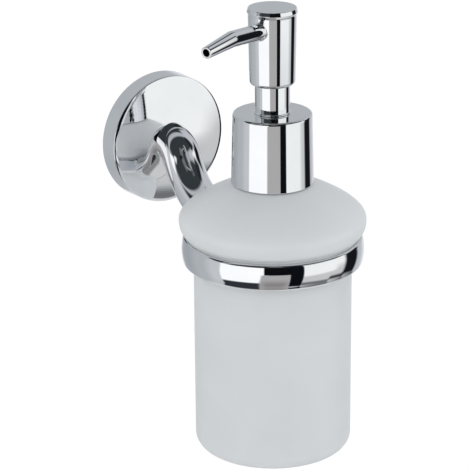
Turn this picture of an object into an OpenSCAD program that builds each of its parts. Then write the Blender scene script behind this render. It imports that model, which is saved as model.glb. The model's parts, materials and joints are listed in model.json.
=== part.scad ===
// Wall mounted soap dispenser: rosette, curved arm, holder ring, frosted
// bottle with a threaded neck, and a chromed lotion pump.
// The origin is the centre of the rosette's back, on the wall plane.
// +Y points into the wall, +Z is up. All sizes are in millimetres.

/* [Wall rosette] */
// Diameter of the rosette at the wall
rosette_d = 53.8; // [50:0.2:60]
// How far the edge of the rosette's face stands off the wall
rosette_h = 8; // [8:0.5:12]
// Radius of the rosette's domed face
rosette_dome_r = 130; // [110:5:200]
// Thickness of the rosette's front skin
rosette_skin = 1.8; // [1.4:0.1:2]
// Distance between the two wall screws
screw_spacing = 30; // [26:1:34]
// Diameter of the wall screw holes
screw_hole_d = 4.6; // [3.6:0.1:5]

/* [Arm and ring] */
// Distance from the wall to the bottle's axis
reach = 80; // [79:0.5:82]
// Diameter of the curved arm
arm_d = 15.6; // [14:0.2:16.4]
// Angle below level where the arm is steepest
arm_slope = 65; // [60:1:68]
// Radius of the arm's first bend
arm_bend_r = 9.5; // [9:0.25:11]
// How far the ring's centre lies below the rosette's centre
ring_drop = 25.6; // [25:0.1:27]
// Outer diameter of the ring at its fullest
ring_d = 71.5; // [71:0.1:73]
// Height of the ring
ring_h = 10.8; // [10:0.2:12]
// Bore of the ring
ring_bore_d = 64.8; // [64.6:0.1:65.2]
// Thickness of the cushion under the bottle's shoulder
cushion_t = 0.7; // [0.5:0.1:1]

/* [Bottle] */
// Outer diameter of the straight body
body_d = 62; // [60:0.5:62.4]
// Length of the body below the ring cushion
body_len = 89; // [80:0.5:110]
// Widest diameter of the shoulder
shoulder_d = 73.2; // [72.4:0.2:74]
// Thickness of the glass wall
glass_t = 2.6; // [2.2:0.1:3]
// Diameter of the neck under its thread
neck_d = 25; // [24.8:0.1:25.2]
// Bore of the neck
neck_bore_d = 19.2; // [18:0.2:20]
// Rise of the neck thread in one turn
thread_pitch = 4.233; // [4:0.001:4.4]

/* [Pump] */
// Diameter of the collar at its lower edge
collar_d = 32; // [31.8:0.1:33]
// Diameter of the collar at its top
collar_top_d = 30.9; // [30.8:0.1:31.6]
// Height of the collar
collar_h = 27.9; // [27.5:0.1:29]
// Diameter of the chromed guide sleeve
sleeve_d = 13.6; // [13.2:0.1:13.8]
// Diameter of the head's rim bead
bead_d = 19.5; // [19:0.1:20]
// Height of the head
head_h = 30; // [29:0.2:32]
// Travel of the head when it is pressed
stroke = 10.5; // [8:0.1:10.5]
// Heading of the nozzle from the left, turned towards the front
nozzle_heading = 20; // [0:1:45]
// Rise of the nozzle up to its bend
nozzle_rise = 4; // [0:1:8]
// Distance from the pump's axis to the nozzle's bend
nozzle_bend = 27.2; // [24:0.2:32]
// Length of the nozzle's drooping end
nozzle_tip_len = 16.3; // [12:0.1:20]
// Bend of the nozzle's end, down from its first part
nozzle_droop = 9; // [5:1:20]

/* [Hidden] */
$fn = 64;

chrome = "#c9ccd0";
steel = "#a9adb2";
frosted = "#d5dadb";
white = "#eceeec";
grey = "#8d9296";
clear = "#dfe5e8";

// Rosette and bracket
rosette_r = rosette_d / 2;
rosette_wall = 2.6;
rosette_draft = 0.3;
edge_r = 0.6;
// Curve that turns the rosette's dome down to its edge, and the tilt it ends at
rim_curve_r = 7;
rim_tilt = 24;
cavity_r = rosette_r - rosette_wall;
cavity_h = rosette_h - rosette_skin;
bracket_r = cavity_r - 0.4;
bracket_rim_t = 2;
bracket_plate_t = 2;
bracket_h = cavity_h - 0.4;
grub_r = 2;
grub_y = 4;
grub_len = 3.6;
grub_play = 0.06;
hole_clear = 0.2;
washer_r = 5.6;
washer_t = 1;
arm_screw_head_r = 4.9;

// Arm
arm_r = arm_d / 2;
arm_stub = 0.8;
arm_seat_gap = 0.4;
arm_start = rosette_h + arm_stub;
arm_bends_sum = ring_drop / (1 - cos(arm_slope));
arm_bend2_r = arm_bends_sum - arm_bend_r;
arm_level_y = arm_start + arm_bends_sum * sin(arm_slope);
arm_lap = 0.3;
m6_r = 3;
m5_r = 2.5;
thread_play = 0.05;
arm_hole_len = 9;
taper_from = reach - 46;
taper_len = 16;
taper_big_r = 9.3;
taper_small_r = 3.6;
taper_tilt = 17;
taper_rise = 3.4;

// Ring and cushion
ring_r = ring_d / 2;
ring_bore_r = ring_bore_d / 2;
ring_z = -ring_drop;
ring_top = ring_z + ring_h / 2;
ring_low = ring_z - ring_h / 2;
ring_crown_r = 17;
ring_edge_r = 1.4;
ring_screw_len = 13.5;
sink_r = 5.6;
sink_h = 3.2;
cushion_gap = 0.1;
cushion_foot = 1.5;
cushion_lip = 2.2;
cushion_r = body_d / 2 + 0.6;
seat_z = ring_top + cushion_t;

// Bottle
body_r = body_d / 2;
shoulder_r = shoulder_d / 2;
base_z = seat_z - body_len;
wide_z = seat_z + 5.8;
neck_r = neck_d / 2;
bore_r = neck_bore_d / 2;
neck_foot_z = seat_z + 21;
neck_top = seat_z + 38.5;
heel_r = 5.1;
floor_t = 3.2;
foot_ring_w = 3;
foot_recess = 0.7;
neck_blend = 2;
inner_wide_r = shoulder_r - glass_t - 0.4;
slope_r = 29.7;
slope_drop = 6.8;
inner_slope_r = 25.6;
inner_slope_drop = 9.2;
thread_depth = 1.1;
thread_root_w = 1.7;
thread_crest_w = 1.1;
thread_steps = 24;
thread_turns = 1.25;
thread_z = neck_foot_z + 8;

// Pump
pump_flange_t = 1.4;
gasket_t = 0.8;
flange_low = neck_top + gasket_t;
flange_top = flange_low + pump_flange_t;
housing_r = 7.2;
housing_bore_r = 6;
housing_low = neck_top - 41;
housing_wall_low = 2;
socket_r = 4.4;
socket_len = 11;
socket_low = housing_low - socket_len;
socket_stop = 4;
tube_r = 3;
tube_bore_r = 2;
collar_low = neck_foot_z;
collar_top = collar_low + collar_h;
housing_top = collar_top - 3;
stem_guide_low = neck_top - 5;
stem_guide_rim = 0.9;
collar_r = collar_d / 2;
collar_top_r = collar_top_d / 2;
collar_wall = 0.55;
collar_skin = 0.8;
cap_wall = 0.95;
cap_bore_r = neck_r + thread_depth + 0.3;
cap_r = cap_bore_r + cap_wall;
cap_low = collar_low + 1.8;
cap_skin = 1.8;
cap_top = flange_top + cap_skin;
sleeve_r = sleeve_d / 2;
sleeve_wall = 0.8;
sleeve_top = collar_top + 17;
sleeve_flange_r = 9.6;
sleeve_flange_t = 1.1;
head_low = collar_top + stroke + 0.9;
head_top = head_low + head_h;
bead_r = bead_d / 2;
bevel_h = 1.45;
bevel_w = 0.42;
cove_h = 0.8;
head_r = bead_r - 0.42;
head_foot_r = bead_r - 0.87;
head_wall = 0.75;
head_rounding = 1.6;
lip_t = 0.8;
head_lip_r = sleeve_r + 0.35;
insert_low = sleeve_top + stroke + 0.7;
insert_r = head_foot_r - head_wall - 0.05;
insert_top = head_top - 1.3;
nozzle_z = head_top - 8.13;
nozzle_r = 3.13;
nozzle_tip_r = 2.28;
nozzle_bore_r = 1.48;
nozzle_root = 4.6;
stem_r = 3.4;
stem_bore_r = 1.9;
stem_low = neck_top - 10;
stem_seat = 2;
stem_seat_r = 1;
stem_top = insert_low + 3.2;
piston_r = housing_bore_r - 0.06;
piston_low = neck_top - 16;
piston_land = 2.4;
piston_h = 9;
spring_low = housing_low + housing_wall_low;
inlet_seat_r = 1.3;
inlet_seat_z = housing_low - 0.4;
spring_r = 4.4;
spring_wire_r = 0.5;
spring_turns = 7;
spring_steps = 14;
inlet_ball_r = 2.1;
outlet_ball_r = 1.4;
ball_gap = 0.03;

// ---- Helpers ----

// Points on an arc about [cx, cy] from angle a0 to a1
function arc(cx, cy, r, a0, a1, n) =
    [for (i = [0:n]) let (a = a0 + (a1 - a0) * i / n) [cx + r * cos(a), cy + r * sin(a)]];

// Points on a cubic curve from p0 to p3
function curve(p0, p1, p2, p3, n) =
    [for (i = [0:n]) let (t = i / n, s = 1 - t)
        s * s * s * p0 + 3 * s * s * t * p1 + 3 * s * t * t * p2 + t * t * t * p3];

// Turns +Z to point away from the wall
module outward() { rotate([90, 0, 0]) children(); }

// Moves to the bottle's axis, with heights kept
module at_bottle() { translate([0, -reach, 0]) children(); }

// Turns a cross hole's facets off the facets of the round body it cuts
module off_seam() { rotate([0, 0, 2.3]) children(); }

// A round bar standing on height z
module bar(r, z, h) { translate([0, 0, z]) cylinder(r = r, h = h); }

// A pipe standing on height z
module pipe(r, bore, z, h) {
    difference() {
        bar(r, z, h);
        bar(bore, z - 1, h + 2);
    }
}

// A bar bent in the upright plane through the given angle
module bent_bar(bend_r, start, angle, section_r) {
    rotate([0, -90, 180]) rotate([0, 0, start])
        rotate_extrude(angle = angle) translate([bend_r, 0]) circle(r = section_r);
}

// Section ring of a swept ridge: radius at its root and crest, at turn angle a
function ridge_ring(a, z, root, crest, w_root, w_crest) =
    [for (p = [[root, -w_root], [crest, -w_crest], [crest, w_crest], [root, w_root]])
        [p[0] * cos(a), p[0] * sin(a), z + p[1] / 2]];

// Helical thread ridge that fades in and out at its ends
module thread_ridge(root, crest, z) {
    n = thread_steps * thread_turns;
    rings = [for (i = [0:n])
        let (a = 360 * i / thread_steps, fade = min(1, 0.1 + min(i, n - i) / 2))
        ridge_ring(a, z + thread_pitch * a / 360, root, root + (crest - root) * fade,
                   thread_root_w, thread_crest_w)];
    points = [for (ring = rings) each ring];
    side = [for (i = [0:n - 1], j = [0:3])
        let (k = (j + 1) % 4)
        [4 * i + j, 4 * i + k, 4 * i + 4 + k, 4 * i + 4 + j]];
    flip = crest > root;
    faces = concat([[3, 2, 1, 0]], [[4 * n, 4 * n + 1, 4 * n + 2, 4 * n + 3]], side);
    polyhedron(points = points,
               faces = flip ? faces : [for (f = faces) [for (i = [len(f) - 1:-1:0]) f[i]]]);
}

// ---- Wall fixing ----

module rosette_cover() {
    edge_x = rosette_r - rosette_draft - edge_r;
    rim_x = edge_x + (edge_r - rim_curve_r) * sin(rim_tilt);
    rim_z = rosette_h - edge_r + (edge_r - rim_curve_r) * cos(rim_tilt);
    dome_tilt = asin(rim_x / (rosette_dome_r - rim_curve_r));
    dome_z = rim_z + (rim_curve_r - rosette_dome_r) * cos(dome_tilt);
    color(chrome) difference() {
        outward() difference() {
            rotate_extrude() polygon(concat(
                [[0, 0], [rosette_r, 0]],
                arc(edge_x, rosette_h - edge_r, edge_r, 0, 80 - rim_tilt, 4),
                arc(rim_x, rim_z, rim_curve_r, 90 - rim_tilt, 90 - dome_tilt, 4),
                arc(0, dome_z, rosette_dome_r, 91 - dome_tilt, 90, 12)));
            // Flat seat for the arm's foot
            bar(arm_r + arm_seat_gap, rosette_h, rosette_h);
            bar(cavity_r, -1, cavity_h + 1);
            bar(m6_r + hole_clear, 0, rosette_h + 1);
        }
        // Room in the dome for the arm's first bend
        translate([0, -arm_start, -arm_bend_r])
            bent_bar(arm_bend_r, 0, arm_slope + 10, arm_r + arm_seat_gap);
        translate([0, -grub_y, -rosette_r - 1]) cylinder(r = grub_r + grub_play, h = rosette_wall + 2);
    }
}

module wall_bracket() {
    color(steel) difference() {
        outward() difference() {
            bar(bracket_r, 0, bracket_h);
            bar(bracket_r - bracket_rim_t, bracket_plate_t, bracket_h);
            for (x = [-1, 1])
                translate([x * screw_spacing / 2, 0, 0]) bar(screw_hole_d / 2, -1, bracket_plate_t + 2);
        }
        translate([0, -grub_y, -bracket_r - 1])
            cylinder(r = grub_r + grub_play, h = bracket_rim_t + 2);
    }
}

module grub_screw() {
    low = -rosette_r + 0.5;
    color(steel) translate([0, -grub_y, low]) difference() {
        cylinder(r = grub_r, h = grub_len);
        translate([0, 0, -1]) cylinder(r = 1.15, h = 2.6, $fn = 6);
    }
}

module arm_washer() {
    color(steel) outward() pipe(washer_r, m6_r + hole_clear, cavity_h - washer_t, washer_t);
}

module arm_screw() {
    head_h = 2.2;
    head_z = cavity_h - washer_t - head_h;
    color(steel) outward() difference() {
        union() {
            bar(arm_screw_head_r, head_z, head_h);
            bar(m6_r - thread_play, head_z, cavity_h - head_z + rosette_skin + arm_hole_len - 1);
        }
        translate([0, 0, head_z - 1]) cylinder(r = 2.3, h = 2.8, $fn = 6);
    }
}

// ---- Arm and ring ----

// Outline of the ring's outer face, from its lower edge to its upper edge
function ring_outline() =
    let (crown_x = ring_r - ring_crown_r,
         edge_z = ring_h / 2 - ring_edge_r,
         edge_a = asin(edge_z / ring_crown_r),
         edge_x = crown_x + ring_crown_r * cos(edge_a) - ring_edge_r)
    concat(arc(edge_x, ring_z - edge_z, ring_edge_r, -90, -15, 4),
           arc(crown_x, ring_z, ring_crown_r, -edge_a, edge_a, 10),
           arc(edge_x, ring_z + edge_z, ring_edge_r, 15, 90, 4));

module arm() {
    color(chrome) difference() {
        union() {
            outward() bar(arm_r, rosette_h, arm_stub);
            translate([0, -arm_start, -arm_bend_r])
                bent_bar(arm_bend_r, 0, arm_slope, arm_r);
            // The second bend starts just inside the first, and is a hair slimmer
            translate([0, -arm_level_y, ring_z + arm_bend2_r])
                bent_bar(arm_bend2_r, 180, arm_slope + arm_lap, arm_r - 0.02);
        }
        // The arm narrows to the ring
        translate([0, -taper_from, ring_z + taper_rise]) rotate([90 + taper_tilt, 0, 0]) difference() {
            translate([-20, -20, 0]) cube([40, 40, 30]);
            cylinder(r1 = taper_big_r, r2 = taper_small_r, h = taper_len);
        }
        at_bottle() rotate_extrude()
            polygon(concat([[0, ring_low]], ring_outline(), [[0, ring_top]]));
        at_bottle() bar(shoulder_r + 0.6, ring_top - 0.5, 20);
        outward() off_seam() bar(m6_r, rosette_h - 1, arm_hole_len + 1);
        translate([0, -reach, ring_z]) rotate([-90, 0, 0]) off_seam()
            bar(m5_r, ring_r - 1, ring_bore_r + ring_screw_len + 2 - ring_r);
    }
}

module holder_ring() {
    color(chrome) difference() {
        at_bottle() rotate_extrude() polygon(concat(
            [[ring_bore_r, ring_top], [ring_bore_r, ring_low]], ring_outline()));
        translate([0, -reach, ring_z]) rotate([-90, 0, 0]) off_seam() {
            bar(m5_r + hole_clear / 2, ring_bore_r - 2, 8);
            translate([0, 0, ring_bore_r - 1])
                cylinder(r1 = sink_r, r2 = m5_r - hole_clear / 2, h = sink_h);
        }
    }
}

module ring_screw() {
    head_r = 4.3;
    head_len = 1.85;
    start = ring_bore_r + 0.15;
    color(steel) translate([0, -reach, ring_z]) rotate([-90, 0, 0]) difference() {
        union() {
            translate([0, 0, start])
                cylinder(r1 = head_r, r2 = m5_r - thread_play, h = head_len);
            bar(m5_r - thread_play, start, ring_screw_len);
        }
        translate([0, 0, ring_bore_r - 1]) cylinder(r = 1.7, h = 2.9, $fn = 6);
    }
}

module ring_cushion() {
    skirt_r = ring_bore_r - cushion_gap;
    color(clear) at_bottle() rotate_extrude() polygon([
        [cushion_r, ring_low + cushion_foot], [skirt_r, ring_low + cushion_foot],
        [skirt_r, ring_top], [ring_r - cushion_lip, ring_top],
        [ring_r - cushion_lip - 0.2, seat_z], [cushion_r, seat_z]]);
}

// ---- Bottle ----

function bottle_outside() = concat(
    [[0, base_z + foot_recess], [body_r - heel_r - foot_ring_w, base_z + foot_recess],
     [body_r - heel_r - foot_ring_w / 2, base_z]],
    arc(body_r - heel_r, base_z + heel_r, heel_r, -90, 0, 8),
    [[body_r, seat_z - 0.4], [body_r + 0.5, seat_z]],
    curve([shoulder_r - 3.4, seat_z], [shoulder_r - 1.4, seat_z + 0.2],
          [shoulder_r, wide_z - 3.1], [shoulder_r, wide_z], 8),
    curve([shoulder_r, wide_z], [shoulder_r, wide_z + 3.8],
          [slope_r, neck_foot_z - slope_drop], [neck_r + neck_blend, neck_foot_z], 16),
    [[neck_r + 0.6, neck_foot_z + 0.5], [neck_r, neck_foot_z + 1.2],
     [neck_r, neck_top - 0.6], [neck_r - 0.6, neck_top]]);

function bottle_inside() = concat(
    [[bore_r + 0.5, neck_top], [bore_r, neck_top - 0.5]],
    curve([bore_r, neck_foot_z - 2.4], [inner_slope_r, neck_foot_z - inner_slope_drop],
          [inner_wide_r, wide_z + 2.2], [inner_wide_r, wide_z], 14),
    curve([inner_wide_r, wide_z - 0.6], [inner_wide_r, wide_z - 2.6],
          [body_r - glass_t, wide_z - 3], [body_r - glass_t, seat_z - 2], 8),
    arc(body_r - heel_r, base_z + floor_t + heel_r - glass_t, heel_r - glass_t, 0, -90, 5),
    [[0, base_z + floor_t]]);

module bottle() {
    color(frosted) at_bottle() union() {
        rotate_extrude() polygon(concat(bottle_outside(), bottle_inside()));
        thread_ridge(neck_r - 0.3, neck_r + thread_depth, thread_z);
    }
}

// ---- Pump engine ----

module pump_housing() {
    color(white) at_bottle() difference() {
        union() {
            bar(neck_r - 0.2, flange_low, pump_flange_t);
            bar(housing_r, housing_low, housing_top - housing_low);
            bar(socket_r, socket_low, socket_len);
        }
        bar(housing_bore_r, spring_low, housing_top - spring_low + 1);
        bar(inlet_ball_r + 0.25, inlet_seat_z, 5);
        bar(inlet_seat_r, housing_low - socket_stop - 1, 10);
        bar(tube_r + 0.02, socket_low - 1, socket_len - socket_stop + 1);
    }
}

module neck_gasket() {
    color(grey) at_bottle() pipe(neck_r - 0.3, housing_r + 0.1, neck_top, gasket_t);
}

module dip_tube() {
    low = base_z + floor_t + 2;
    color(clear) at_bottle()
        pipe(tube_r, tube_bore_r, low, housing_low - socket_stop - low);
}

module inlet_ball() {
    seated = sqrt(inlet_ball_r * inlet_ball_r - inlet_seat_r * inlet_seat_r) + ball_gap;
    color(steel) at_bottle() translate([0, 0, inlet_seat_z + seated]) sphere(r = inlet_ball_r);
}

module return_spring() {
    top = piston_low - 0.1;
    low = spring_low + spring_wire_r;
    n = spring_turns * spring_steps;
    rise = (top - low - spring_wire_r) / n;
    sides = 6;
    points = [for (i = [0:n], j = [0:sides - 1])
        let (a = 360 * i / spring_steps, b = 360 * j / sides, r = spring_r + spring_wire_r * cos(b))
        [r * cos(a), r * sin(a), low + rise * i + spring_wire_r * sin(b)]];
    first = [for (j = [0:sides - 1]) j];
    last = [for (j = [sides - 1:-1:0]) n * sides + j];
    side = [for (i = [0:n - 1], j = [0:sides - 1])
        let (k = (j + 1) % sides)
        [sides * i + j, sides * (i + 1) + j, sides * (i + 1) + k, sides * i + k]];
    color(steel) at_bottle() polyhedron(points = points, faces = concat([first], [last], side));
}

module stem_guide() {
    color(white) at_bottle() difference() {
        union() {
            bar(housing_bore_r - 0.02, stem_guide_low, housing_top - stem_guide_low);
            bar(housing_r, housing_top, stem_guide_rim);
        }
        bar(stem_r + 0.3, stem_guide_low - 1, 20);
    }
}

// ---- Collar ----

module collar_shell() {
    color(chrome) at_bottle() difference() {
        rotate_extrude() polygon(concat(
            [[0, collar_low], [collar_r - 0.2, collar_low], [collar_r, collar_low + 0.2]],
            arc(collar_top_r - 1, collar_top - 1, 1, 2, 90, 6),
            [[0, collar_top]]));
        rotate_extrude() polygon([
            [0, collar_low - 1], [collar_r - collar_wall, collar_low - 1],
            [collar_r - collar_wall, collar_low + 0.2],
            [collar_top_r - collar_wall, collar_top - collar_skin - 0.6],
            [collar_top_r - collar_wall - 0.6, collar_top - collar_skin],
            [0, collar_top - collar_skin]]);
        bar(sleeve_r + 0.02, collar_top - 3, 5);
    }
}

module screw_cap() {
    color(white) at_bottle() union() {
        difference() {
            bar(cap_r, cap_low, cap_top - cap_low);
            bar(cap_bore_r, cap_low - 1, flange_top - cap_low + 1);
            bar(housing_r + 0.3, flange_top - 1, cap_skin + 2);
        }
        thread_ridge(cap_bore_r + 0.3, cap_bore_r - thread_depth, thread_z - thread_pitch / 2);
    }
}

module guide_sleeve() {
    flange_z = collar_top - collar_skin - sleeve_flange_t;
    color(chrome) at_bottle() difference() {
        union() {
            bar(sleeve_r, flange_z, sleeve_top - flange_z);
            bar(sleeve_flange_r, flange_z, sleeve_flange_t);
            // Foot bead where the sleeve meets the collar
            bar(sleeve_r + 0.35, collar_top, 0.7);
        }
        bar(sleeve_r - sleeve_wall, flange_z - 1, sleeve_top - flange_z + 2);
    }
}

// ---- Head ----

module piston() {
    color(grey) at_bottle() difference() {
        union() {
            bar(piston_r, piston_low, piston_land);
            bar(stem_r + 1.1, piston_low, piston_h);
            bar(piston_r, piston_low + piston_h - piston_land, piston_land);
        }
        bar(stem_r + 0.03, stem_low, 10);
        bar(stem_seat_r + 0.2, piston_low - 1, 10);
    }
}

module pump_stem() {
    color(white) at_bottle() difference() {
        bar(stem_r, stem_low, stem_top - stem_low);
        bar(stem_bore_r, stem_low + stem_seat, stem_top);
        bar(stem_seat_r, stem_low - 1, 10);
    }
}

module outlet_ball() {
    seated = sqrt(outlet_ball_r * outlet_ball_r - stem_seat_r * stem_seat_r) + ball_gap;
    color(steel) at_bottle() translate([0, 0, stem_low + stem_seat + seated])
        sphere(r = outlet_ball_r);
}

// Turns +Z to run out along the nozzle from the pump's axis
module along_nozzle() {
    translate([0, -reach, nozzle_z]) rotate([0, nozzle_rise - 90, nozzle_heading]) children();
}

module head_shell() {
    color(chrome) difference() {
        at_bottle() difference() {
            rotate_extrude() polygon(concat(
                [[0, head_low]],
                arc(head_foot_r - head_rounding, head_low + head_rounding, head_rounding, -90, 0, 6),
                [[head_r, head_top - bevel_h - cove_h - 0.7], [head_r, head_top - bevel_h - cove_h],
                 [bead_r - 0.03, head_top - bevel_h - 0.1], [bead_r, head_top - bevel_h],
                 [bead_r - bevel_w, head_top - 0.12], [bead_r - bevel_w - 0.12, head_top],
                 [0, head_top]]));
            rotate_extrude() polygon([
                [0, head_low + lip_t], [head_foot_r - head_rounding - 0.2, head_low + lip_t],
                [head_foot_r - head_wall, head_low + 2], [head_foot_r - head_wall, insert_top],
                [0, insert_top]]);
            bar(head_lip_r, head_low - 1, 3);
        }
        along_nozzle() bar(nozzle_r + 0.05, nozzle_root, 8);
    }
}

module head_insert() {
    color(white) difference() {
        at_bottle() difference() {
            bar(insert_r, insert_low, insert_top - insert_low);
            bar(stem_r + 0.02, insert_low - 1, stem_top - insert_low + 1);
            bar(stem_bore_r, insert_low, nozzle_z - insert_low);
        }
        along_nozzle() bar(nozzle_bore_r, 0, 10);
        along_nozzle() bar(nozzle_r + 0.02, nozzle_root, 8);
    }
}

// A bar or bore along the nozzle: straight, then drooping from a ball joint to the tip
module nozzle_run(r, tip_r, from, tip_extra) {
    bar(r, from, nozzle_bend - from);
    translate([0, 0, nozzle_bend]) {
        sphere(r = r + 0.05);
        rotate([0, -nozzle_droop, 0])
            cylinder(r1 = r, r2 = tip_r, h = nozzle_tip_len + tip_extra);
    }
}

module nozzle() {
    color(chrome) along_nozzle() difference() {
        nozzle_run(nozzle_r, nozzle_tip_r, nozzle_root, 0);
        nozzle_run(nozzle_bore_r, nozzle_bore_r, nozzle_root - 1, 1);
    }
}

rosette_cover();
wall_bracket();
grub_screw();
arm();
arm_screw();
arm_washer();
holder_ring();
ring_screw();
ring_cushion();
bottle();
pump_housing();
neck_gasket();
dip_tube();
inlet_ball();
return_spring();
stem_guide();
collar_shell();
screw_cap();
guide_sleeve();
piston();
head_shell();
head_insert();
nozzle();
pump_stem();
outlet_ball();
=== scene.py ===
"""Looks of the wall mounted soap dispenser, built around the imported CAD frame.

Metres throughout, in the frame's own axes: +Y into the wall, +Z up.
"""

import json
from math import asin, cos, degrees, hypot, pi, radians, sin, sqrt

import bpy
from mathutils import Matrix, Vector


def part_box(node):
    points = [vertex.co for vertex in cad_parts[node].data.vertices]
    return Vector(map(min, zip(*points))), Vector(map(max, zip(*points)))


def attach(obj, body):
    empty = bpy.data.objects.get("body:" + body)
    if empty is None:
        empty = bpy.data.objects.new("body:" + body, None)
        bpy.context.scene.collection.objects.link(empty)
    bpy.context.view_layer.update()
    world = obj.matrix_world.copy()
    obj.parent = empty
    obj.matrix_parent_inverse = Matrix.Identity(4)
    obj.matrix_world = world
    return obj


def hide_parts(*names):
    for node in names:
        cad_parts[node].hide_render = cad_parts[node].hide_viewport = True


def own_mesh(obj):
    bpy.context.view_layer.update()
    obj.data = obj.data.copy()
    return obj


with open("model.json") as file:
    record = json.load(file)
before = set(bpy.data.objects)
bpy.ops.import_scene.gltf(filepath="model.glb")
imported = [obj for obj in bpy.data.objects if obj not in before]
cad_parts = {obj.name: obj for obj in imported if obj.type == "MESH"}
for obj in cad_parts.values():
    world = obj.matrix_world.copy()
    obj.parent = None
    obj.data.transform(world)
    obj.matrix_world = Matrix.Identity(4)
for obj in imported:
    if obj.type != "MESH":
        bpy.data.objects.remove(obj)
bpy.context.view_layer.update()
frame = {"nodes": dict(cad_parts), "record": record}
nodes = frame["nodes"]

MM = 0.001

# ---- Sizes, from the frame's nodes ----

rosette_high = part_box("rosette_cover")[1]
ring_low, ring_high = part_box("holder_ring")
cushion_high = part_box("ring_cushion")[1]
bottle_low, bottle_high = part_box("bottle")
collar_low, collar_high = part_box("collar_shell")
sleeve_low, sleeve_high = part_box("guide_sleeve")
head_low, head_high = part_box("head_shell")
spring_low, spring_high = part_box("return_spring")

AXIS_Y = (ring_low.y + ring_high.y) / 2
ROSETTE_R = rosette_high.x
# The edge of the rosette's domed face stands off the wall by this much
ROSETTE_H = 8 * MM
RING_R = ring_high.x
RING_Z = (ring_low.z + ring_high.z) / 2
RING_H = ring_high.z - ring_low.z
RING_BORE_R = 32.4 * MM
SEAT_Z = cushion_high.z
BASE_Z = bottle_low.z
NECK_TOP = bottle_high.z
SHOULDER_R = bottle_high.x
COLLAR_R = collar_high.x
HEAD_TOP = head_high.z
BEAD_R = head_high.x

AXIS = Vector((0, AXIS_Y, 0))
UPRIGHT = Matrix.Translation(AXIS)
# Turns +Z to point away from the wall
OUTWARD = Matrix.Rotation(pi / 2, 4, "X")


# ---- Mesh helpers ----

def arc(cx, cy, r, a0, a1, n):
    """Points on an arc about (cx, cy) from a0 to a1 degrees."""
    steps = [radians(a0 + (a1 - a0) * i / n) for i in range(n + 1)]
    return [(cx + r * cos(a), cy + r * sin(a)) for a in steps]


def curve(p0, p1, p2, p3, n):
    """Points on a cubic curve from p0 to p3."""
    points = []
    for i in range(n + 1):
        t = i / n
        s = 1 - t
        weights = (s * s * s, 3 * s * s * t, 3 * s * t * t, t * t * t)
        points.append(tuple(sum(w * p[k] for w, p in zip(weights, (p0, p1, p2, p3))) for k in (0, 1)))
    return points


def supported(outline, margin=0.12 * MM):
    """Adds points just inside the ends of long stretches, so that flat faces shade flat."""
    points = []
    for (x0, y0), (x1, y1) in zip(outline, outline[1:]):
        points.append((x0, y0))
        length = hypot(x1 - x0, y1 - y0)
        if length > 4 * margin:
            for t in (margin / length, 1 - margin / length):
                points.append((x0 + (x1 - x0) * t, y0 + (y1 - y0) * t))
    return points + [outline[-1]]


def mesh_piece(name, vertices, faces):
    """A smooth shaded mesh object with its normals facing out."""
    mesh = bpy.data.meshes.new(name)
    mesh.from_pydata(vertices, [], faces)
    mesh.update()
    mesh.polygons.foreach_set("use_smooth", [True] * len(mesh.polygons))
    piece = bpy.data.objects.new(name, mesh)
    bpy.context.scene.collection.objects.link(piece)
    return piece


def lathe(name, outline, place=UPRIGHT, segments=192, closed=False):
    """Turns an outline of (radius, height) points, given anticlockwise, about the Z axis of place."""
    outline = supported(outline + outline[:1] if closed else outline)
    if closed:
        outline = outline[:-1]
    vertices, rings = [], []
    for r, z in outline:
        first = len(vertices)
        if r < 1e-7:
            vertices.append((0, 0, z))
            rings.append([first] * segments)
        else:
            angles = [2 * pi * k / segments for k in range(segments)]
            vertices += [(r * cos(a), r * sin(a), z) for a in angles]
            rings.append(list(range(first, first + segments)))
    faces = []
    pairs = list(zip(rings, rings[1:])) + ([(rings[-1], rings[0])] if closed else [])
    for low, high in pairs:
        for k in range(segments):
            corners = (low[k], low[(k + 1) % segments], high[(k + 1) % segments], high[k])
            face = list(dict.fromkeys(corners))
            if len(face) > 2:
                faces.append(face)
    return mesh_piece(name, [place @ Vector(v) for v in vertices], faces)


def tube(name, rings, closed=False):
    """A skin over a list of rings, each a list of the same number of points.

    Its ends are capped, or joined to each other when closed."""
    count = len(rings[0])
    vertices = [p for ring in rings for p in ring]
    faces = []
    starts = [i * count for i in range(len(rings))]
    for low, high in list(zip(starts, starts[1:])) + ([(starts[-1], 0)] if closed else []):
        for k in range(count):
            n = (k + 1) % count
            faces.append((low + k, low + n, high + n, high + k))
    if not closed:
        faces.append(tuple(reversed(range(count))))
        faces.append(tuple(range((len(rings) - 1) * count, len(rings) * count)))
    return mesh_piece(name, vertices, faces)


def drill(piece, hole):
    """Cuts the hole's solid out of a piece."""
    cut = piece.modifiers.new("cut", "BOOLEAN")
    cut.operation = "DIFFERENCE"
    cut.solver = "EXACT"
    cut.object = hole
    drilled = piece.evaluated_get(bpy.context.evaluated_depsgraph_get())
    mesh = bpy.data.meshes.new_from_object(drilled)
    piece.modifiers.clear()
    piece.data = mesh
    mesh.set_sharp_from_angle(angle=radians(30))
    bpy.data.objects.remove(hole)
    return piece


# ---- Material helpers ----

def new_material(name):
    """A node material, its node tree and its shader."""
    material = bpy.data.materials.new(name)
    material.use_nodes = True
    tree = material.node_tree
    shader = tree.nodes["Principled BSDF"]
    return material, tree, shader


def noise(tree, scale, detail=4.0, roughness=0.5):
    """A noise texture over the object's own coordinates, in metres."""
    place = tree.nodes.new("ShaderNodeTexCoord")
    texture = tree.nodes.new("ShaderNodeTexNoise")
    texture.inputs["Scale"].default_value = scale
    texture.inputs["Detail"].default_value = detail
    texture.inputs["Roughness"].default_value = roughness
    tree.links.new(place.outputs["Object"], texture.inputs["Vector"])
    return texture.outputs["Fac"]


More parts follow.
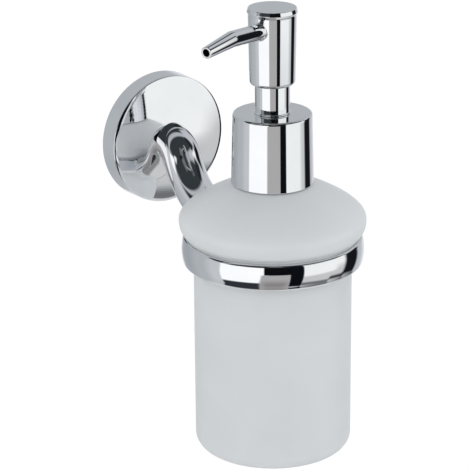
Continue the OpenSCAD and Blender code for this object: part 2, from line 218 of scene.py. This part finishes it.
def ramp(tree, factor, low, high, start=0.3, end=0.7):
    """A colour that runs from low to high as factor goes from start to end."""
    node = tree.nodes.new("ShaderNodeValToRGB")
    for element, place, colour in zip(node.color_ramp.elements, (start, end), (low, high)):
        element.position = place
        element.color = (*colour, 1)
    tree.links.new(factor, node.inputs["Fac"])
    return node.outputs["Color"]


def spread(tree, factor, low, high):
    """A number that runs from low to high as factor goes from 0.3 to 0.7."""
    node = tree.nodes.new("ShaderNodeMapRange")
    for socket, value in (("From Min", 0.3), ("From Max", 0.7), ("To Min", low), ("To Max", high)):
        node.inputs[socket].default_value = value
    tree.links.new(factor, node.inputs["Value"])
    return node.outputs["Result"]


def bump(tree, shader, height, strength, distance):
    """Bump from a height, with its distance in metres."""
    node = tree.nodes.new("ShaderNodeBump")
    node.inputs["Strength"].default_value = strength
    node.inputs["Distance"].default_value = distance
    tree.links.new(height, node.inputs["Height"])
    tree.links.new(node.outputs["Normal"], shader.inputs["Normal"])


def chrome():
    """Bright chrome plate with a faint cast and the least unevenness of polish."""
    material, tree, shader = new_material("chrome_plate")
    shader.inputs["Metallic"].default_value = 1.0
    cloud = noise(tree, 90, 3)
    colour = ramp(tree, cloud, (0.865, 0.875, 0.89), (0.90, 0.905, 0.915))
    tree.links.new(colour, shader.inputs["Base Color"])
    tree.links.new(spread(tree, noise(tree, 420, 5), 0.018, 0.045), shader.inputs["Roughness"])
    bump(tree, shader, noise(tree, 150, 2), 0.02, 0.02 * MM)
    return material


def steel():
    """Machined stainless steel: duller than the plate, with fine turning marks."""
    material, tree, shader = new_material("machined_steel")
    shader.inputs["Metallic"].default_value = 1.0
    colour = ramp(tree, noise(tree, 260, 4), (0.50, 0.51, 0.53), (0.62, 0.63, 0.65))
    tree.links.new(colour, shader.inputs["Base Color"])
    tree.links.new(spread(tree, noise(tree, 900, 4), 0.22, 0.38), shader.inputs["Roughness"])
    bump(tree, shader, noise(tree, 2400, 2), 0.25, 0.02 * MM)
    return material


def frosted_glass():
    """Acid frosted glass: pale grey-green, soft and milky, with a fine etched grain."""
    material, tree, shader = new_material("frosted_glass")
    colour = ramp(tree, noise(tree, 35, 3), (0.511, 0.535, 0.551), (0.533, 0.557, 0.571))
    tree.links.new(colour, shader.inputs["Base Color"])
    tree.links.new(spread(tree, noise(tree, 700, 4), 0.40, 0.50), shader.inputs["Roughness"])
    shader.inputs["IOR"].default_value = 1.5
    shader.inputs["Specular IOR Level"].default_value = 0.5
    shader.inputs["Subsurface Weight"].default_value = 0.35
    shader.inputs["Subsurface Radius"].default_value = (1.0, 1.0, 1.0)
    shader.inputs["Subsurface Scale"].default_value = 0.004
    bump(tree, shader, noise(tree, 5200, 3, 0.6), 0.12, 0.02 * MM)
    return material


def plastic(name, low, high, roughness, grain=1600):
    """Moulded plastic with a little tone in it and a fine grain."""
    material, tree, shader = new_material(name)
    tree.links.new(ramp(tree, noise(tree, 120, 3), low, high), shader.inputs["Base Color"])
    rough = spread(tree, noise(tree, 600, 3), roughness - 0.05, roughness + 0.05)
    tree.links.new(rough, shader.inputs["Roughness"])
    bump(tree, shader, noise(tree, grain, 3), 0.15, 0.02 * MM)
    return material


materials = {
    "chrome": chrome(),
    "steel": steel(),
    "frosted_glass": frosted_glass(),
    "cushion_clear": plastic("cushion_vinyl", (0.47, 0.50, 0.51), (0.54, 0.56, 0.57), 0.45, 900),
    "tube_clear": plastic("tube_polyethylene", (0.72, 0.76, 0.78), (0.80, 0.83, 0.84), 0.4),
    "white_plastic": plastic("white_polypropylene", (0.80, 0.81, 0.79), (0.87, 0.875, 0.86), 0.42),
    "seal_grey": plastic("seal_rubber", (0.20, 0.21, 0.22), (0.27, 0.28, 0.29), 0.6, 2200),
}


def dress(piece, slot):
    """Gives a piece its material."""
    piece.data.materials.clear()
    piece.data.materials.append(materials[slot])


def finish_piece(piece, body, slot, *replaced):
    """Dresses a new piece, puts it on its body and hides the CAD nodes it stands for."""
    dress(piece, slot)
    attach(piece, body)
    if replaced:
        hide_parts(*replaced)
    return piece


for entry in frame["record"]["subparts"]:
    dress(nodes[entry["node"]], entry["material_slot"])


# ---- Wall fixing and ring ----

GRUB_HOLE_R = 2.06 * MM
# The hole's axis stands off the wall by this much
GRUB_Y = 4 * MM


def rosette():
    """The chromed cap on the wall: a slight taper, and a domed face that rolls over at its rim."""
    dome_r, rim_r, edge_r, wall, skin = 130 * MM, 7 * MM, 0.35 * MM, 2.6 * MM, 1.8 * MM
    rim_tilt = radians(24)
    inner_r, depth = ROSETTE_R - wall, ROSETTE_H - skin
    edge_x = ROSETTE_R - 0.3 * MM - edge_r
    rim_x = edge_x + (edge_r - rim_r) * sin(rim_tilt)
    rim_z = ROSETTE_H - edge_r + (edge_r - rim_r) * cos(rim_tilt)
    dome_tilt = asin(rim_x / (dome_r - rim_r))
    dome_z = rim_z + (rim_r - dome_r) * cos(dome_tilt)
    rim_a, dome_a = 90 - degrees(rim_tilt), 90 - degrees(dome_tilt)
    outline = [(0, depth), (inner_r, depth), (inner_r, 0), (ROSETTE_R, 0)]
    outline += arc(edge_x, ROSETTE_H - edge_r, edge_r, 0, rim_a, 8)
    outline += arc(rim_x, rim_z, rim_r, rim_a, dome_a, 10)[1:]
    outline += arc(0, dome_z, dome_r, dome_a, 90, 24)[1:]
    shell = lathe("rosette_shell", outline, OUTWARD, 256)
    foot = Matrix.Translation(Vector((0, -GRUB_Y, -ROSETTE_R)))
    cut = [(0, -MM), (GRUB_HOLE_R, -MM), (GRUB_HOLE_R, wall + MM), (0, wall + MM)]
    return drill(shell, lathe("grub_hole", cut, foot, 48))


finish_piece(rosette(), "wall_holder", "chrome", "rosette_cover")

RING_CROWN_R = 17 * MM
RING_EDGE_R = 1.4 * MM


def ring_outline():
    """Outer face of the ring, from its lower edge to its upper edge."""
    crown_x = RING_R - RING_CROWN_R
    edge_z = RING_H / 2 - RING_EDGE_R
    edge_a = asin(edge_z / RING_CROWN_R)
    edge_x = crown_x + RING_CROWN_R * cos(edge_a) - RING_EDGE_R
    a = degrees(edge_a)
    return (arc(edge_x, RING_Z - edge_z, RING_EDGE_R, -90, -a, 6)
            + arc(crown_x, RING_Z, RING_CROWN_R, -a, a, 20)[1:-1]
            + arc(edge_x, RING_Z + edge_z, RING_EDGE_R, a, 90, 6))


def holder_ring():
    """The chromed band round the bottle, with a crowned outer face."""
    lead = 0.4 * MM
    bore = arc(RING_BORE_R + lead, RING_Z + RING_H / 2 - lead, lead, 90, 180, 3)
    bore += arc(RING_BORE_R + lead, RING_Z - RING_H / 2 + lead, lead, 180, 270, 3)
    return lathe("ring_band", ring_outline() + bore, UPRIGHT, 256, closed=True)


finish_piece(holder_ring(), "wall_holder", "chrome", "holder_ring")

ARM_R = 7.8 * MM
ARM_START = ROSETTE_H + 0.8 * MM
ARM_SLOPE = radians(65)
ARM_BEND_R = 9.5 * MM
ARM_BENDS_SUM = -RING_Z / (1 - cos(ARM_SLOPE))
ARM_BEND2_R = ARM_BENDS_SUM - ARM_BEND_R
# The bar ends this far inside the ring's outer face
ARM_LAP = 1.4 * MM
TAPER_FROM = -AXIS_Y - 46 * MM
TAPER_RISE = 3.4 * MM
TAPER_TILT = radians(17)
TAPER_LEN = 16 * MM
TAPER_BIG_R = 9.3 * MM
TAPER_SMALL_R = 3.6 * MM


def arm_line():
    """Centreline points and headings of the arm, from inside the rosette's face to the ring."""
    line = [(-ROSETTE_H, 0, 0), (-ARM_START, 0, 0)]
    bend1, bend2 = 24, 48
    for i in range(1, bend1 + 1):
        a = ARM_SLOPE * i / bend1
        line.append((-ARM_START - ARM_BEND_R * sin(a), -ARM_BEND_R * (1 - cos(a)), a))
    level_y = -ARM_START - ARM_BENDS_SUM * sin(ARM_SLOPE)
    for i in range(1, bend2 + 1):
        a = ARM_SLOPE * (1 - i / bend2)
        line.append((level_y + ARM_BEND2_R * sin(a), RING_Z + ARM_BEND2_R * (1 - cos(a)), a))
    return line


def inside_taper(point):
    """True where a point is within the cone that narrows the arm to the ring."""
    away = Vector((0, -cos(TAPER_TILT), -sin(TAPER_TILT)))
    offset = point - Vector((0, -TAPER_FROM, RING_Z + TAPER_RISE))
    along = offset.dot(away)
    if along <= 0:
        return True
    across = (offset - away * along).length
    return across <= TAPER_BIG_R + (TAPER_SMALL_R - TAPER_BIG_R) * along / TAPER_LEN


def arm():
    """The bent chromed bar, skinned ring by ring and narrowed where it nears the holder ring."""
    count = 96
    end_y = AXIS_Y + RING_R - ARM_LAP
    rings = []
    for y, z, a in arm_line():
        if y < end_y:
            break
        centre = Vector((0, y, z))
        up = Vector((0, -sin(a), cos(a)))
        ring = []
        for k in range(count):
            angle = 2 * pi * k / count
            ray = Vector((1, 0, 0)) * cos(angle) + up * sin(angle)
            low, high = 0.0, ARM_R
            if inside_taper(centre + ray * ARM_R):
                low = ARM_R
            else:
                for _ in range(24):
                    middle = (low + high) / 2
                    if inside_taper(centre + ray * middle):
                        low = middle
                    else:
                        high = middle
            ring.append(centre + ray * low)
        rings.append(ring)
    return tube("arm_bar", rings)


finish_piece(arm(), "wall_holder", "chrome", "arm")


# ---- Bottle ----

BODY_R = 31 * MM
WIDE_Z = SEAT_Z + 5.8 * MM
NECK_R = 12.5 * MM
BORE_R = 9.6 * MM
NECK_FOOT_Z = collar_low.z
HEEL_R = 5.1 * MM
FLOOR = 3.2 * MM
GLASS = 2.6 * MM


def bottle():
    """The frosted glass bottle, outside and inside in one closed skin."""
    foot, recess = 3 * MM, 0.7 * MM
    inner_wide_r = SHOULDER_R - GLASS - 0.4 * MM
    outline = [(0, BASE_Z + recess), (BODY_R - HEEL_R - foot, BASE_Z + recess),
               (BODY_R - HEEL_R - foot / 2, BASE_Z)]
    outline += arc(BODY_R - HEEL_R, BASE_Z + HEEL_R, HEEL_R, -90, 0, 16)
    outline += [(BODY_R, SEAT_Z - 0.4 * MM), (BODY_R + 0.5 * MM, SEAT_Z)]
    outline += curve((SHOULDER_R - 3.4 * MM, SEAT_Z), (SHOULDER_R - 1.4 * MM, SEAT_Z + 0.2 * MM),
                     (SHOULDER_R, WIDE_Z - 3.1 * MM), (SHOULDER_R, WIDE_Z), 14)
    outline += curve((SHOULDER_R, WIDE_Z), (SHOULDER_R, WIDE_Z + 3.8 * MM),
                     (29.7 * MM, NECK_FOOT_Z - 6.8 * MM), (NECK_R + 2 * MM, NECK_FOOT_Z), 30)[1:]
    outline += [(NECK_R + 0.6 * MM, NECK_FOOT_Z + 0.5 * MM), (NECK_R, NECK_FOOT_Z + 1.2 * MM),
                (NECK_R, NECK_TOP - 0.6 * MM), (NECK_R - 0.6 * MM, NECK_TOP),
                (BORE_R + 0.5 * MM, NECK_TOP), (BORE_R, NECK_TOP - 0.5 * MM)]
    outline += curve((BORE_R, NECK_FOOT_Z - 2.4 * MM), (25.6 * MM, NECK_FOOT_Z - 9.2 * MM),
                     (inner_wide_r, WIDE_Z + 2.2 * MM), (inner_wide_r, WIDE_Z), 20)
    outline += curve((inner_wide_r, WIDE_Z - 0.6 * MM), (inner_wide_r, WIDE_Z - 2.6 * MM),
                     (BODY_R - GLASS, WIDE_Z - 3 * MM), (BODY_R - GLASS, SEAT_Z - 2 * MM), 12)
    outline += arc(BODY_R - HEEL_R, BASE_Z + FLOOR + HEEL_R - GLASS, HEEL_R - GLASS, 0, -90, 8)
    outline += [(0, BASE_Z + FLOOR)]
    return lathe("bottle_glass", outline, UPRIGHT, 256)


def neck_thread():
    """The rounded thread ridge on the bottle's neck, fading in and out."""
    pitch, turns, steps = 4.233 * MM, 1.25, 96
    root, crest, half_root, half_crest = NECK_R - 0.3 * MM, NECK_R + 1.1 * MM, 0.85 * MM, 0.5 * MM
    start_z = NECK_FOOT_Z + 8 * MM
    total = int(turns * steps)
    rings = []
    for i in range(total + 1):
        a = 2 * pi * i / steps
        fade = sin(pi / 2 * min(1, (0.02 + min(i, total - i)) / (0.12 * steps)))
        top = root + 0.1 * MM + (crest - root - 0.1 * MM) * fade
        section = curve((root, -half_root), (root + (top - root) * 0.9, -half_root),
                        (top, -half_crest), (top, 0), 6)
        section += [(r, -z) for r, z in reversed(section[:-1])]
        z = start_z + pitch * i / steps
        rings.append([AXIS + Vector((r * cos(a), r * sin(a), z + dz)) for r, dz in reversed(section)])
    return tube("neck_thread", rings)


finish_piece(bottle(), "bottle", "frosted_glass", "bottle")
finish_piece(neck_thread(), "bottle", "frosted_glass")


# ---- Collar, sleeve and head ----

def collar():
    """The tall chromed shell over the screw cap, open below, with a rounded top edge."""
    top_r, wall, skin, edge = COLLAR_R - 0.55 * MM, 0.55 * MM, 0.8 * MM, 1 * MM
    low, top = collar_low.z, collar_high.z
    hole_r = 6.82 * MM
    outline = [(COLLAR_R - wall, low), (COLLAR_R - 0.2 * MM, low), (COLLAR_R, low + 0.2 * MM)]
    outline += arc(top_r - edge, top - edge, edge, 2, 90, 10)
    outline += [(hole_r, top), (hole_r, top - skin), (top_r - wall - 0.6 * MM, top - skin),
                (top_r - wall, top - skin - 0.6 * MM), (COLLAR_R - wall, low + 0.2 * MM)]
    return lathe("collar_skin", outline, UPRIGHT, 256, closed=True)


finish_piece(collar(), "collar", "chrome", "collar_shell")

SLEEVE_R = 6.8 * MM


def sleeve():
    """The slim chromed tube that guides the head, with a fine bead at its foot."""
    wall, bead, bead_h, flange_r = 0.8 * MM, 0.35 * MM, 0.7 * MM, 9.6 * MM
    foot = collar_high.z
    flange_top = foot - 0.8 * MM
    outline = [(SLEEVE_R - wall, sleeve_low.z), (flange_r, sleeve_low.z), (flange_r, flange_top),
               (SLEEVE_R, flange_top)]
    outline += arc(SLEEVE_R, foot + bead_h / 2, bead, -90, 90, 8)
    outline += [(SLEEVE_R, sleeve_high.z - 0.2 * MM), (SLEEVE_R - 0.2 * MM, sleeve_high.z),
                (SLEEVE_R - wall, sleeve_high.z)]
    return lathe("sleeve_tube", outline, UPRIGHT, 192, closed=True)


finish_piece(sleeve(), "collar", "chrome", "guide_sleeve")

HEAD_R = BEAD_R - 0.42 * MM
HEAD_FOOT_R = BEAD_R - 0.87 * MM


def head():
    """The chromed head: rim bead, tapered side and rounded foot, open below round the sleeve."""
    wall, lip, rounding, lip_r = 0.75 * MM, 0.8 * MM, 1.6 * MM, 7.15 * MM
    low, top, skin = head_low.z, HEAD_TOP, 1.3 * MM
    bevel_h, bevel_w, cove_h = 1.45 * MM, 0.42 * MM, 0.8 * MM
    bevel_low = top - bevel_h
    outline = [(0, top - skin), (HEAD_FOOT_R - wall, top - skin), (HEAD_FOOT_R - wall, low + 2 * MM),
               (HEAD_FOOT_R - rounding - 0.2 * MM, low + lip), (lip_r, low + lip), (lip_r, low)]
    outline += arc(HEAD_FOOT_R - rounding, low + rounding, rounding, -90, 0, 12)
    outline += curve((HEAD_R, bevel_low - cove_h - 0.7 * MM), (HEAD_R, bevel_low - cove_h),
                     (BEAD_R - 0.1 * MM, bevel_low - 0.4 * MM),
                     (BEAD_R - 0.03 * MM, bevel_low - 0.1 * MM), 10)
    outline += [(BEAD_R, bevel_low), (BEAD_R - bevel_w, top - 0.12 * MM),
                (BEAD_R - bevel_w - 0.04 * MM, top - 0.04 * MM),
                (BEAD_R - bevel_w - 0.12 * MM, top), (0, top)]
    return lathe("head_skin", outline, UPRIGHT, 256)


finish_piece(head(), "head", "chrome", "head_shell")

NOZZLE_Z = HEAD_TOP - 8.13 * MM
NOZZLE_R = 3.13 * MM
NOZZLE_TIP_R = 2.28 * MM
NOZZLE_BORE_R = 1.48 * MM
NOZZLE_ROOT = 4.6 * MM
NOZZLE_BEND = 27.2 * MM
NOZZLE_TIP_LEN = 16.3 * MM
NOZZLE_RISE = radians(4)
NOZZLE_DROOP = radians(9)
NOZZLE_HEADING = radians(20)
FILLET_R = 0.6 * MM
HEAD_FOOT_TOP = head_low.z + 1.6 * MM
HEAD_RIM_LOW = HEAD_TOP - 2.95 * MM


def head_side_r(z):
    """Radius of the head's tapered side at a height."""
    share = (z - HEAD_FOOT_TOP) / (HEAD_RIM_LOW - HEAD_FOOT_TOP)
    return HEAD_FOOT_R + (HEAD_R - HEAD_FOOT_R) * share


def nozzle():
    """The chromed spout: flared out of the head, a bend, and a slimmer drooping end with its bore."""
    count = 64
    level = Vector((-cos(NOZZLE_HEADING), -sin(NOZZLE_HEADING), 0))
    side = Vector((sin(NOZZLE_HEADING), -cos(NOZZLE_HEADING), 0))

    def way_at(rise):
        return level * cos(rise) + Vector((0, 0, sin(rise)))

    out, tip_way = way_at(NOZZLE_RISE), way_at(NOZZLE_RISE - NOZZLE_DROOP)
    start = AXIS + Vector((0, 0, NOZZLE_Z))
    bend = start + out * NOZZLE_BEND

    def ring(centre, way, r):
        up = way.cross(side)
        angles = [2 * pi * k / count for k in range(count)]
        return [centre + side * (r * cos(a)) + up * (r * sin(a)) for a in angles]

    def flare(r, gap):
        """A ring that follows the head's round side, gap outside it."""
        points = []
        for point in ring(start, out, r):
            across = (point - start).dot(side)
            depth = sqrt(head_side_r(point.z) ** 2 - across * across)
            points.append(point + out * (depth + gap))
        return points

    half = sin(NOZZLE_DROOP / 2)
    knee = (out + tip_way).normalized()
    tip = bend + tip_way * NOZZLE_TIP_LEN
    round_r = 0.25 * MM
    rings = [ring(start + out * NOZZLE_ROOT, out, NOZZLE_R), flare(NOZZLE_R, -0.6 * MM),
             flare(NOZZLE_R + FILLET_R, -0.2 * MM)]
    rings += [flare(NOZZLE_R + r, gap) for r, gap in arc(FILLET_R, FILLET_R, FILLET_R, -90, -180, 10)]
    rings += [ring(bend - out * (NOZZLE_R * half + 0.6 * MM), out, NOZZLE_R), ring(bend, knee, NOZZLE_R)]
    rings += [ring(bend + tip_way * (NOZZLE_R * half + 0.6 * MM), tip_way, NOZZLE_R - 0.05 * MM)]
    rings += [ring(tip - tip_way * 0.8 * MM, tip_way, NOZZLE_TIP_R + 0.05 * MM)]
    for r, back in arc(NOZZLE_TIP_R - round_r, -round_r, round_r, 0, 90, 5):
        rings.append(ring(tip + tip_way * back, tip_way, r))
    for r, back in arc(NOZZLE_BORE_R + round_r / 2, -round_r / 2, round_r / 2, 90, 180, 4):
        rings.append(ring(tip + tip_way * back, tip_way, r))
    rings.append(ring(bend + tip_way * 0.3 * MM, tip_way, NOZZLE_BORE_R))
    rings.append(ring(bend - out * 0.3 * MM, out, NOZZLE_BORE_R))
    rings.append(ring(start + out * NOZZLE_ROOT, out, NOZZLE_BORE_R))
    return tube("nozzle_spout", rings, closed=True)


finish_piece(nozzle(), "head", "chrome", "nozzle")


# ---- Return spring ----

def return_spring():
    """The coil spring under the piston, with closed ends."""
    wire_r, coil_r, turns, steps, count = 0.5 * MM, 4.4 * MM, 8.5, 48, 12
    total = int(turns * steps)
    length = spring_high.z - spring_low.z - 2 * wire_r
    closed_pitch = 2.1 * wire_r
    # The pitch opens over half a turn after the first and before the last turn
    opens = [min(1, max(0, (min(i, total - i) / steps - 0.75) / 0.5)) for i in range(total)]
    open_pitch = (length * steps - closed_pitch * total) / sum(opens)
    z, rings = spring_low.z + wire_r, []
    for i in range(total + 1):
        a = 2 * pi * i / steps
        out = Vector((cos(a), sin(a), 0))
        centre = AXIS + out * coil_r + Vector((0, 0, z))
        angles = [2 * pi * k / count for k in range(count)]
        rings.append([centre + out * (wire_r * cos(b)) + Vector((0, 0, wire_r * sin(b)))
                      for b in angles])
        if i < total:
            z += (closed_pitch + open_pitch * opens[i]) / steps
    return tube("spring_coil", [list(reversed(ring)) for ring in rings])


spring = finish_piece(return_spring(), "pump", "steel", "return_spring")
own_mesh(spring)


# ---- Studio ----

CAMERA_AZIMUTH = radians(-35.27)
CAMERA_PITCH = radians(20.163)
CAMERA_ROLL = radians(-0.441)
CAMERA_PLACE = Vector((-519.74, -789.48, 302.24)) * MM
CAMERA_LENS = 183.8


def add_camera():
    """The camera, left of the front and a little above, with a long lens."""
    data = bpy.data.cameras.new("camera")
    data.sensor_width = 36
    data.lens = CAMERA_LENS
    data.clip_start = 0.01
    data.clip_end = 100
    camera = bpy.data.objects.new("camera", data)
    bpy.context.scene.collection.objects.link(camera)
    right = Vector((cos(CAMERA_AZIMUTH), sin(CAMERA_AZIMUTH), 0))
    back = Vector((sin(CAMERA_AZIMUTH) * cos(CAMERA_PITCH),
                   -cos(CAMERA_AZIMUTH) * cos(CAMERA_PITCH), sin(CAMERA_PITCH)))
    up = back.cross(right)
    turned_right = right * cos(CAMERA_ROLL) + up * sin(CAMERA_ROLL)
    turned_up = up * cos(CAMERA_ROLL) - right * sin(CAMERA_ROLL)
    turn = Matrix((turned_right, turned_up, back)).transposed()
    camera.matrix_world = Matrix.Translation(CAMERA_PLACE) @ turn.to_4x4()
    bpy.context.scene.camera = camera


def add_floor():
    """The plain pale floor under the dispenser."""
    half, drop = 6, 120 * MM
    z = BASE_Z - drop
    corners = [(-half, -half, z), (half, -half, z), (half, half, z), (-half, half, z)]
    floor = mesh_piece("floor", corners, [(0, 1, 2, 3)])
    material, tree, shader = new_material("floor_white")
    tree.links.new(ramp(tree, noise(tree, 3, 2), (0.93, 0.93, 0.93), (0.95, 0.95, 0.95)),
                   shader.inputs["Base Color"])
    shader.inputs["Roughness"].default_value = 0.9
    floor.data.materials.append(material)
    floor.visible_glossy = False


# What the chrome reflects, as cards round the dispenser: (from, to) azimuth, which is 0 towards
# the camera and positive to its right; (from, to) elevation; lean, the azimuth that both sides
# gain with each degree of elevation; width of the soft edge; and colour. Later cards lie over
# earlier ones.
CARDS = [
    # Side walls, and the bright wall behind
    (100, 150, -90, 60, 0, 12, (0.54, 0.555, 0.59)),
    (-200, -160, -30, 5, 0, 8, (0.85, 0.86, 0.88)),
    (150, 200, -30, 4, 0, 16, (0.78, 0.80, 0.83)),
    (-152, -120, -34, 30, 0, 20, (0.37, 0.40, 0.43)),
    (-90, -60, -40, 14, 0, 14, (0.58, 0.60, 0.62)),
    # Low floor
    (-200, 200, -90, -46, 0, 5, (0.70, 0.70, 0.70)),
    (-70, 24, -64, -44, 0, 8, (0.30, 0.30, 0.30)),
    # A lamp on the dark ceiling
    (-6, 12, 27, 46, 0, 6, (0.17, 0.17, 0.18)),
    # Left window, and the dark under it
    (-68, -5, -33, 7, 0.1, 3, (1.08, 1.09, 1.10)),
    (-44, -5, 5, 14, 0, 3, (0.95, 0.96, 0.97)),
    (-68, -14, -46, -32, 0.1, 3, (0.03, 0.034, 0.04)),
    # Right window, with the dark ceiling beside it and grey and dark under it
    (36, 105, -20.5, 27, 0, 7, (0.95, 0.965, 0.965)),
    (86, 108, -34, -12, 0, 10, (0.62, 0.62, 0.625)),
    (36, 100, -34, -20.5, 0, 7, (0.60, 0.605, 0.61)),
    (38, 82, 24, 35, 0, 8, (0.52, 0.53, 0.55)),
    (84, 109, 25, 60, 0, 8, (0.02, 0.022, 0.025)),
    (34, 80, -41, -34, 0, 3, (0.17, 0.175, 0.18)),
    (79, 106, -35, -28.5, 0, 4, (0.05, 0.05, 0.055)),
    (112, 131, 26, 42, 0, 6, (0.55, 0.56, 0.57)),
    (101, 130, -32, 21, 0, 6, (0.008, 0.009, 0.012)),
    # Centre: grey below, black above, and the black upright beside them
    (-13, 25, -46, -10.5, 0.16, 3, (0.44, 0.43, 0.43)),
    (-10, 25, -46, -28, 0.16, 14, (0.26, 0.25, 0.25)),
    (-11.5, 28, -10.5, 26, 0, 1.5, (0.004, 0.004, 0.005)),
    (21, 38, -42, 36, 0, 1.5, (0.004, 0.005, 0.007)),
]
WALL_GLOW = (0.46, 0.485, 0.51)
# Dark ceiling panels over the dispenser, a light strip between them: from and to, across the
# strip, each as a share of the ceiling's height
CEILING = [(0.12, 5.5), (-0.8, -0.12)]
CEILING_COLOUR = (0.035, 0.042, 0.045)
CEILING_AZIMUTH = 25
# The room's even light, how much it gains towards the right, and loses straight above
ROOM_LIGHT = 1.97
ROOM_LEAN = 0.07
ROOM_SHADE = 1.3


def add_world():
    """Even white light, with soft edged cards where the chrome looks for its reflections."""
    world = bpy.data.worlds.new("studio")
    bpy.context.scene.world = world
    world.use_nodes = True
    tree = world.node_tree
    tree.nodes.clear()

    def math(operation, *inputs):
        node = tree.nodes.new("ShaderNodeMath")
        node.operation = operation
        for socket, value in zip(node.inputs, inputs):
            if isinstance(value, (int, float)):
                socket.default_value = value
            else:
                tree.links.new(value, socket)
        return node.outputs[0]

    def mix(factor, below, above):
        node = tree.nodes.new("ShaderNodeMixRGB")
        tree.links.new(factor, node.inputs["Fac"])
        for socket, value in zip(node.inputs[1:], (below, above)):
            if isinstance(value, tuple):
                socket.default_value = (*value, 1)
            else:
                tree.links.new(value, socket)
        return node.outputs[0]

    place = tree.nodes.new("ShaderNodeTexCoord")
    split = tree.nodes.new("ShaderNodeSeparateXYZ")
    tree.links.new(place.outputs["Generated"], split.inputs[0])
    x, y, z = split.outputs
    to_camera = Vector((sin(CAMERA_AZIMUTH), -cos(CAMERA_AZIMUTH)))
    ahead = math("ADD", math("MULTIPLY", x, to_camera.x), math("MULTIPLY", y, to_camera.y))
    aside = math("SUBTRACT", math("MULTIPLY", y, to_camera.x), math("MULTIPLY", x, to_camera.y))
    azimuth = math("DEGREES", math("ARCTAN2", aside, ahead))
    elevation = math("DEGREES", math("ARCSINE", z))

    def inside(value, low, high, soft):
        """1 between low and high, 0 outside, with soft edges."""
        depth = math("MINIMUM", math("SUBTRACT", value, low), math("SUBTRACT", high, value))
        node = tree.nodes.new("ShaderNodeClamp")
        tree.links.new(math("MULTIPLY_ADD", depth, 1 / soft, 0.5), node.inputs["Value"])
        return node.outputs[0]

    glow = WALL_GLOW
    turn = math("COSINE", math("RADIANS", math("SUBTRACT", azimuth, CEILING_AZIMUTH)))
    across = math("DIVIDE", math("MULTIPLY", turn, math("COSINE", math("ARCSINE", z))), z)
    for near, far in CEILING:
        panel = math("MULTIPLY", inside(across, near, far, 0.1), inside(elevation, 10, 95, 4))
        glow = mix(panel, glow, CEILING_COLOUR)
    for left, right, low, high, lean, soft, colour in CARDS:
        leant = math("MULTIPLY_ADD", elevation, -lean, azimuth) if lean else azimuth
        mask = math("MULTIPLY", inside(leant, left, right, soft), inside(elevation, low, high, soft))
        glow = mix(mask, glow, colour)

    rays = tree.nodes.new("ShaderNodeLightPath")
    lit = math("SUBTRACT", math("MULTIPLY_ADD", aside, ROOM_LEAN, ROOM_LIGHT),
               math("MULTIPLY", math("MAXIMUM", z, 0), ROOM_SHADE))
    room = tree.nodes.new("ShaderNodeCombineXYZ")
    for socket in room.inputs:
        tree.links.new(lit, socket)
    room = room.outputs[0]
    background = tree.nodes.new("ShaderNodeBackground")
    tree.links.new(mix(rays.outputs["Is Glossy Ray"], room, glow), background.inputs["Color"])
    output = tree.nodes.new("ShaderNodeOutputWorld")
    tree.links.new(background.outputs[0], output.inputs["Surface"])


add_camera()
add_floor()
add_world()
bpy.context.scene.view_settings.view_transform = "Standard"
